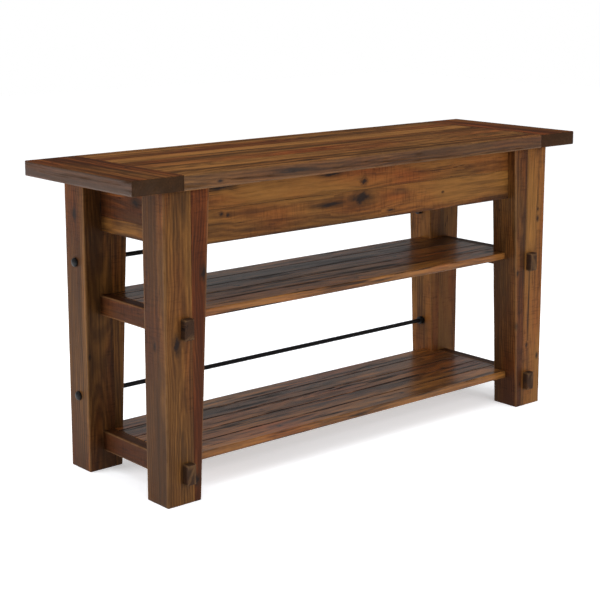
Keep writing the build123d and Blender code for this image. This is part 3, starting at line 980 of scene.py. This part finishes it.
@dataclass
class TableTop:
    """Seven long boards between two cross boards."""

    wood: bpy.types.Material
    end_wood: bpy.types.Material
    arris: float = 2.6 * MM
    tones: tuple[float, ...] = (0.38, 0.52, 0.50, 0.42, 0.70, 0.40, 0.50)
    rednesses: tuple[float, ...] = (0.35, 0.30, 0.45, 0.35, 0.05, 0.40, 0.30)
    front_knots: tuple[Knot, ...] = (
        Knot(-262, -207, 694, 6, 7.0),
        Knot(-465, -207, 690, 3, 2.0),
        Knot(-205, -190, 711, 5),
    )
    streak_knots: tuple[Knot, ...] = (Knot(-230, 36, 711, 4, 24.0),)

    def build(self) -> None:
        """Build the nine boards."""
        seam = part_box("top_end_board_left")[1].x
        for number, (low, high) in enumerate(board_rows("top_board_{}", 7, seam), 1):
            board = Board(
                low, high, Axis.X, Axis.Y, seed=100 + number, tone=self.tones[number - 1],
                redness=self.rednesses[number - 1], arris=self.arris, glaze=0.4,
                glued_radius=0.4 * MM, low_edge=Joint.free_if(number == 1),
                high_edge=Joint.free_if(number == 7), low_end=Joint.GLUED, high_end=Joint.GLUED,
                knots=self.front_knots if number == 1 else self.streak_knots if number == 5 else (),
            )
            show_boards(f"top_board_{number}", [board], self.wood)
        for side, tone, seed in (("left", 0.33, 111), ("right", 0.40, 112)):
            node = f"top_end_board_{side}"
            board = Board(
                *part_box(node), Axis.Y, Axis.X, seed=seed, tone=tone, redness=0.58, arris=self.arris,
                free_edge=0.5, low_edge=Joint.free_if(side == "left"),
                high_edge=Joint.free_if(side == "right"), stray_knots=2,
            )
            show_boards(node, [board], self.end_wood)


def board_rows(pattern: str, count: int, seam: float) -> list[tuple[Vector, Vector]]:
    """Visible boxes of tongued boards laid side by side along the X axis.

    Args:
        pattern: the nodes' names with a place for the board's number.
        count: how many boards.
        seam: X of the left end joint.

    Returns:
        Each board's low and high corners without its tongues.
    """
    boxes = [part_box(pattern.format(number)) for number in range(1, count + 1)]
    rows: list[tuple[Vector, Vector]] = []
    for index, (low, high) in enumerate(boxes):
        last = high.y if index == count - 1 else boxes[index + 1][0].y
        rows.append((Vector((seam, low.y, low.z)), Vector((-seam, last, high.z))))
    return rows


@dataclass
class Legs:
    """Four posts, each of two staves: a straight outer one and a tapered inner one."""

    wood: bpy.types.Material
    arris: float = 2.8 * MM
    knots: dict[str, tuple[Knot, ...]] = field(
        default_factory=lambda: {
            "front_left_outer": (
                Knot(-570, -189, 352, 8, 2.2),
                Knot(-599, -150, 348, 4, 2.0),
            ),
            "front_left_inner": (Knot(-497, -189, 497, 8, 1.6), Knot(-523, -189, 47, 8, 1.3)),
            "front_right_outer": (
                Knot(545, -189, 162, 4),
                Knot(587, -189, 127, 4),
                Knot(574, -189, 492, 4),
                Knot(548, -189, 255, 2.5, 38.0),
            ),
            "front_right_inner": (Knot(502, -189, 217, 5), Knot(502, -189, 357, 4)),
            "rear_left_outer": (Knot(-599, 150, 590, 8, 1.6),),
        }
    )
    seeds: dict[str, int] = field(default_factory=lambda: {"front_left_outer": 233})
    tones: dict[str, float] = field(
        default_factory=lambda: {
            "front_left_outer": 0.31,
            "front_left_inner": 0.36,
            "front_right_outer": 0.64,
            "front_right_inner": 0.28,
            "rear_left_outer": 0.28,
            "rear_left_inner": 0.30,
            "rear_right_outer": 0.78,
            "rear_right_inner": 0.62,
        }
    )

    def build(self) -> None:
        """Build the eight staves."""
        for index, place in enumerate(("front_left", "front_right", "rear_left", "rear_right")):
            left = place.endswith("left")
            for offset, stave in enumerate(("outer", "inner")):
                key = f"{place}_{stave}"
                node = f"leg_{key}_stave"
                low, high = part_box(node)
                glued_low = left == (stave == "inner")
                shape = TaperedBoard(
                    low, high, Axis.Z, Axis.X, seed=self.seeds.get(key, 200 + 2 * index + offset),
                    tone=self.tones[key], redness=0.9 if key == "front_left_inner" else 0.35,
                    arris=self.arris, low_edge=Joint.free_if(not glued_low),
                    high_edge=Joint.free_if(glued_low), knots=self.knots.get(key, ()), glaze=0.2,
                    glued_radius=0.3 * MM,
                    narrowing=self._narrowing(low, high) if stave == "inner" else 0.0,
                )
                show_boards(node, [shape], self.wood)

    def _narrowing(self, low: Vector, high: Vector) -> float:
        """How much narrower an inner stave is at its foot than at its top."""
        outer_low, outer_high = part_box("leg_front_left_outer_stave")
        return (high.x - low.x) - (FOOT_WIDTH - (outer_high.x - outer_low.x))


@dataclass
class ApronFrame:
    """Four aprons under the top, each of two boards one above the other."""

    wood: bpy.types.Material
    arris: float = 2.2 * MM
    knots: dict[str, tuple[Knot, ...]] = field(
        default_factory=lambda: {
            "front_apron_upper": (
                Knot(-16, -165, 642, 7, 1.3),
                # Two long dark patches along the top of the apron, just under the table top.
                Knot(-118, -165, 668, 5, 6.0),
                Knot(-432, -165, 669, 5, 6.0),
            ),
            "front_apron_lower": (
                Knot(-24, -165, 605, 15, 1.7),
                Knot(-120, -165, 599, 5, 8.0),
                Knot(-431, -165, 611, 4, 1.2),
                Knot(-414, -165, 607, 3.5, 1.2),
                Knot(246, -165, 591, 2.5),
                Knot(70, -165, 566, 2.5, 4.0),
            ),
            "left_apron_upper": (Knot(-553, -23, 630, 8, 1.6),),
        }
    )
    tones: dict[str, float] = field(
        default_factory=lambda: {
            "front_apron_upper": 0.66,
            "front_apron_lower": 0.60,
            # The end aprons' tones are set low: painted shade that darkens them as if under the top.
            "left_apron_upper": 0.34,
            "left_apron_lower": 0.36,
        }
    )

    def build(self) -> None:
        """Build the eight boards."""
        for index, side in enumerate(("front", "rear", "left", "right")):
            for offset, level in enumerate(("upper", "lower")):
                key = f"{side}_apron_{level}"
                board = Board(
                    *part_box(f"{key}_board"), Axis.X if side in ("front", "rear") else Axis.Y,
                    Axis.Z, seed=300 + 2 * index + offset, tone=self.tones.get(key, 0.5),
                    # free_edge below 0 paints shade along the lower apron board's bottom edge.
                    redness=0.45 if level == "upper" else 0.35, arris=self.arris, free_edge=-0.9,
                    low_edge=Joint.free_if(level == "lower"), high_edge=Joint.GLUED, glaze=0.35,
                    glued_radius=0.3 * MM, knots=self.knots.get(key, ()),
                )
                show_boards(f"{key}_board", [board], self.wood)


@dataclass
class Shelf:
    """Five boards between two rails whose tenons come through the legs."""

    wood: bpy.types.Material
    rail_wood: bpy.types.Material
    level: str
    seed: int
    tones: tuple[float, ...]
    arris: float = 2.2 * MM
    tenon: float = 25 * MM
    stained_inside: float = 6 * MM

    def build(self) -> None:
        """Build the boards and the rails."""
        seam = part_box(f"{self.level}_rail_left")[1].x
        for number, (low, high) in enumerate(board_rows(self.level + "_shelf_board_{}", 5, seam), 1):
            board = Board(
                low, high, Axis.X, Axis.Y, seed=self.seed + number, tone=self.tones[number - 1],
                # free_edge below 0 paints shade along the shelf's front and back edges.
                redness=0.40, arris=self.arris, free_edge=-0.4, low_edge=Joint.free_if(number == 1),
                high_edge=Joint.free_if(number == 5), low_end=Joint.GLUED, high_end=Joint.GLUED,
                glued_radius=1.7 * MM, stray_knots=3,
            )
            show_boards(f"{self.level}_shelf_board_{number}", [board], self.wood)
        leg_low, leg_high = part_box("leg_rear_left_outer_stave")
        for index, side in enumerate(("left", "right")):
            node = f"{self.level}_rail_{side}"
            rail = TenonedRail(
                *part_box(node), Axis.Y, Axis.Z, seed=self.seed + 10 + index, tone=0.10, redness=0.45,
                arris=self.arris, shoulder=leg_low.y, tenon=self.tenon,
                proud_from=leg_high.y - self.stained_inside,
            )
            show_boards(node, [rail], self.rail_wood)


@dataclass
class TieRods:
    """Two iron rods along the back of the legs, with domed nuts outside and collars inside."""

    iron: bpy.types.Material
    nut_rim: float = 2.5 * MM
    nut_rim_round: float = 0.5 * MM
    collar_length: float = 12 * MM
    collar_round: float = 1.0 * MM
    rod_pitch: float = 9 * MM
    collar_sunk: float = 1 * MM
    lumpiness: float = 0.3 * MM
    dome_steps: int = 9
    dome_flatness: float = 0.03
    round_steps: int = 3
    crease: float = 40.0

    def build(self) -> None:
        """Build the rods, the nuts and the collars."""
        middles: list[Vector] = []
        for index, level in enumerate(("lower", "upper")):
            node = f"tie_rod_{level}"
            low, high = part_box(node)
            middle = (low + high) / 2
            middles.append(middle)
            radius = (high.z - low.z) / 2
            half = (high.x - low.x) / 2
            steps = round(2 * half / self.rod_pitch)
            profile = [(-half + 2 * half * i / steps, radius) for i in range(steps + 1)]
            self._show(node, [Lathe(middle, Axis.X, profile, seed=index + 1)])
        nuts, collars = "tie_rod_cap_nuts", "tie_rod_collars"
        nut = self._nut_profile(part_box(nuts)[1].x, self._radius(nuts))
        self._show(nuts, self._pairs(middles, [nut, nut]))
        rings = [self._collar_profile(middle.z, self._radius(collars)) for middle in middles]
        self._show(collars, self._pairs(middles, rings))

    @staticmethod
    def _radius(node: str) -> float:
        """Radius of the round parts in a node that holds a pair of them on each rod."""
        low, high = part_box(node)
        rod_low, rod_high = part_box("tie_rod_upper")
        apart = rod_high.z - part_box("tie_rod_lower")[0].z
        return ((high.z - low.z) - apart + (rod_high.z - rod_low.z)) / 2

    def _pairs(self, middles: list[Vector], profiles: list[Outline]) -> list[Lathe]:
        """The left and right part on each rod.

        Args:
            middles: the middle of each rod.
            profiles: the right-hand part's profile on each rod.

        Returns:
            Four turned parts.
        """
        parts: list[Lathe] = []
        for index, (middle, profile) in enumerate(zip(middles, profiles)):
            for side in (-1, 1):
                outline = self._turned(profile, side)
                seed = 10 + 2 * index + side
                parts.append(Lathe(middle, Axis.X, outline, seed=seed, uneven=self.lumpiness))
        return parts

    def _nut_profile(self, tip: float, radius: float) -> Outline:
        """Profile of a domed nut from its seat on the leg to its crown."""
        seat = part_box("leg_rear_right_outer_stave")[1].x
        rise = tip - seat - self.nut_rim
        profile = [(seat, radius), (seat + self.nut_rim - self.nut_rim_round, radius)]
        for step in range(self.dome_steps + 1):
            turn = math.pi / 2 * step / self.dome_steps
            flat = self.dome_flatness * (1 - math.sin(turn))
            width = (1 - self.dome_flatness) * math.cos(turn) + flat
            profile.append((seat + self.nut_rim + rise * math.sin(turn), radius * width))
        return profile

    def _collar_profile(self, level: float, radius: float) -> Outline:
        """Profile of a collar at that height, from the leg's inner face inwards."""
        low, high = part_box("leg_rear_right_inner_stave")
        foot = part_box("leg_rear_right_outer_stave")[1].x - FOOT_WIDTH
        near_x = foot + (low.x - foot) * level / high.z + self.collar_sunk
        far_x = near_x - self.collar_length
        turns = [math.pi / 2 * i / self.round_steps for i in range(self.round_steps + 1)]
        r = self.collar_round
        near = [(near_x - r + r * math.cos(t), radius - r + r * math.sin(t)) for t in turns]
        far = [(far_x + r - r * math.sin(t), radius - r + r * math.cos(t)) for t in turns]
        return [*near, *far][::-1]

    @staticmethod
    def _turned(profile: Outline, side: int) -> Outline:
        """A right-hand profile, or its mirror image for the left side."""
        return profile if side > 0 else [(-along, radius) for along, radius in reversed(profile)]

    def _show(self, node: str, parts: list[Lathe]) -> None:
        """Make one piece of turned parts."""
        points: list[Triple] = []
        faces: Faces = []
        for part in parts:
            part.build(points, faces)
        name = f"{node}_forged"
        mesh = bpy.data.meshes.new(name)
        mesh.from_pydata(points, [], faces)
        mesh.shade_smooth()
        mesh.set_sharp_from_angle(angle=math.radians(self.crease))
        show(name, mesh, self.iron, node)


@dataclass
class HiddenBlocks:
    """Sawn blocks and screws that hold the top and the aprons together underneath."""

    sawn: bpy.types.Material
    steel: bpy.types.Material
    spacing: float = 300 * MM
    fixing_size: float = 25 * MM
    fixing_length: float = 60 * MM
    corner_size: float = 30 * MM
    arris: float = 0.8 * MM
    wave: float = 0.25 * MM

    def build(self) -> None:
        """Build the blocks and plate the screws."""
        low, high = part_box("top_fixing_blocks")
        boards: list[Board] = []
        half = self.fixing_length / 2
        for index, (side, x) in enumerate((s, x) for s in (-1, 1) for x in (-1, 0, 1)):
            y = self._against(low.y, high.y, side, self.fixing_size)
            near = Vector((x * self.spacing - half, y[0], low.z))
            far = Vector((x * self.spacing + half, y[1], high.z))
            boards.append(self._block(near, far, Axis.X, Axis.Y, 500 + index))
        for index, side in enumerate((-1, 1)):
            x = self._against(low.x, high.x, side, self.fixing_size)
            near, far = Vector((x[0], -half, low.z)), Vector((x[1], half, high.z))
            boards.append(self._block(near, far, Axis.Y, Axis.X, 510 + index))
        show_boards("top_fixing_blocks", boards, self.sawn)
        for node, seed in (("long_apron_corner_blocks", 520), ("end_apron_corner_blocks", 530)):
            low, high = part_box(node)
            boards = []
            for index, (sx, sy) in enumerate((sx, sy) for sx in (-1, 1) for sy in (-1, 1)):
                x = self._against(low.x, high.x, sx, self.corner_size)
                y = self._against(low.y, high.y, sy, self.corner_size)
                near, far = Vector((x[0], y[0], low.z)), Vector((x[1], y[1], high.z))
                boards.append(self._block(near, far, Axis.Z, Axis.X, seed + index))
            show_boards(node, boards, self.sawn)
        for node in ("top_screws", "apron_screws"):
            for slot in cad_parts[node].material_slots:
                slot.material = self.steel
            log.info("%s: plated", node)

    @staticmethod
    def _against(low: float, high: float, side: int, size: float) -> tuple[float, float]:
        """A stretch of that size against the low or the high limit."""
        return (low, low + size) if side < 0 else (high - size, high)

    def _block(self, low: Vector, high: Vector, along: Axis, across: Axis, seed: int) -> Board:
        """One small sawn block."""
        sizes = {"arris": self.arris, "end_round": self.arris, "wave": self.wave}
        return Board(low, high, along, across, seed, stray_knots=0, **sizes)


@dataclass
class Studio:
    """Pale floor, soft lights and the camera."""

    paper: bpy.types.Material
    sky_rise: tuple[float, float, float, float] = (0.06, 1.0, 0.05, 1.05)
    lens: float = 86.95
    shift_up: float = -0.1
    camera_place: Triple = (-2.284, -2.569, 1.123)
    camera_pitch: float = -10.61
    camera_heading: float = -40.77
    floor_reach: float = 9.0
    floor_lines: int = 37

    def build(self) -> None:
        """Set the whole studio up."""
        self._floor()
        self._world()
        self._area("overhead_softbox", (-0.3, -0.4, 2.6), (0.0, 0.0, 0.4), 2.4, 30.0)
        self._area("front_softbox", (0.3, -3.2, 1.3), (0.0, 0.0, 0.4), 2.0, 67.0)
        self._area("left_softbox", (-3.3, 1.6, 1.0), (-0.6, 0.0, 0.4), 2.0, 112.0)
        self._camera()
        bpy.context.scene.view_settings.view_transform = "Standard"

    def _floor(self) -> None:
        """A wide flat sheet of paper under the object."""
        mesh = bpy.data.meshes.new("paper_sweep")
        lines = np.linspace(-self.floor_reach, self.floor_reach, self.floor_lines)
        points = [(x, y, 0.0) for y in lines for x in lines]
        count = self.floor_lines
        faces = [
            (r * count + c, r * count + c + 1, (r + 1) * count + c + 1, (r + 1) * count + c)
            for r in range(count - 1)
            for c in range(count - 1)
        ]
        mesh.from_pydata(points, [], faces)
        floor = bpy.data.objects.new("paper_sweep", mesh)
        bpy.context.scene.collection.objects.link(floor)
        mesh.materials.append(self.paper)

    def _world(self) -> None:
        """White surroundings whose light comes softly from above."""
        world = bpy.data.worlds.new("white_room")
        sh = Shader(world)
        height = sh.split(sh.node("ShaderNodeTexCoord", output="Generated"), "Z")
        rise = sh.node("ShaderNodeMapRange", None, (height, *self.sky_rise))
        sky = sh.node("ShaderNodeBackground", None, (WHITE, rise))
        backdrop = sh.node("ShaderNodeBackground", None, (WHITE, 1.0))
        seen = sh.node("ShaderNodeLightPath", output="Is Camera Ray")
        sh.close(sh.node("ShaderNodeMixShader", None, (seen, sky, backdrop)), "ShaderNodeOutputWorld")
        bpy.context.scene.world = world

    def _area(self, name: str, place: Triple, aim: Triple, size: float, power: float) -> None:
        """Add a soft square light.

        Args:
            name: the light's name.
            place: where it hangs.
            aim: the point that it faces.
            size: its side in metres.
            power: its power in watts.
        """
        data = bpy.data.lights.new(name, "AREA")
        data.shape = "SQUARE"
        data.size = size
        data.energy = power
        light = bpy.data.objects.new(name, data)
        light.location = place
        light.rotation_euler = (Vector(aim) - Vector(place)).to_track_quat("-Z", "Y").to_euler()
        light.visible_camera = False
        light.visible_glossy = False
        bpy.context.scene.collection.objects.link(light)

    def _camera(self) -> None:
        """Stand the camera in front, to the left and above."""
        data = bpy.data.cameras.new("studio_camera")
        data.lens = self.lens
        data.shift_y = self.shift_up
        camera = bpy.data.objects.new("studio_camera", data)
        camera.location = self.camera_place
        turns = (math.radians(90 + self.camera_pitch), 0.0, math.radians(self.camera_heading))
        camera.rotation_euler = Euler(turns)
        bpy.context.scene.collection.objects.link(camera)
        bpy.context.scene.camera = camera


def main() -> None:
    """Build every sub-assembly."""
    logging.basicConfig(level=logging.INFO, format="%(message)s")
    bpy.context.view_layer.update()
    wood = StainedWood("stained_hardwood").make()
    top_finish = StainedWood(
        "stained_top", golden=(0.202, 0.086, 0.023), specular=0.008, side_coat=0.4, side_glaze=0.40,
        band_share=0.60, band_length=1.0, band_width=50.0, seam_glaze=0.3, streaks=0.5,
        saw_marks=0.4,
    )
    # The end boards' upright faces get the strongest painted shade and sheen.
    end_finish = replace(top_finish, name="stained_end_boards", side_coat=0.5, side_glaze=0.70)
    shelf_wood = StainedWood(
        "stained_shelf", specular=0.10, roughness=0.40, coat=0.80, side_coat=-0.6, side_glaze=0.30,
        golden=(0.28, 0.110, 0.022), brown=(0.046, 0.018, 0.006), deep=(0.010, 0.006, 0.005),
        flecks=0.85, streaks=0.90, smudges=0.70, streak_length=4.6, streak_width=110.0,
        band_length=3.0, band_share=0.50, band_width=50.0, seam_glaze=0.8, saw_marks=0.4,
    ).make()
    iron = ForgedIron().make()
    sawn = StainedWood(
        "sawn_softwood", brown=(0.30, 0.17, 0.08), golden=(0.46, 0.30, 0.16),
        deep=(0.16, 0.09, 0.04), roughness=0.70,
    ).make()
    TableTop(top_finish.make(), end_finish.make()).build()
    Legs(wood).build()
    ApronFrame(wood).build()
    Shelf(shelf_wood, wood, "upper", 400, (0.56, 0.40, 0.46, 0.24, 0.34)).build()
    Shelf(shelf_wood, wood, "lower", 420, (0.50, 0.38, 0.52, 0.34, 0.44)).build()
    TieRods(iron).build()
    HiddenBlocks(sawn, PlatedSteel().make()).build()
    Studio(StudioPaper().make()).build()


if __name__ == "__main__":
    main()
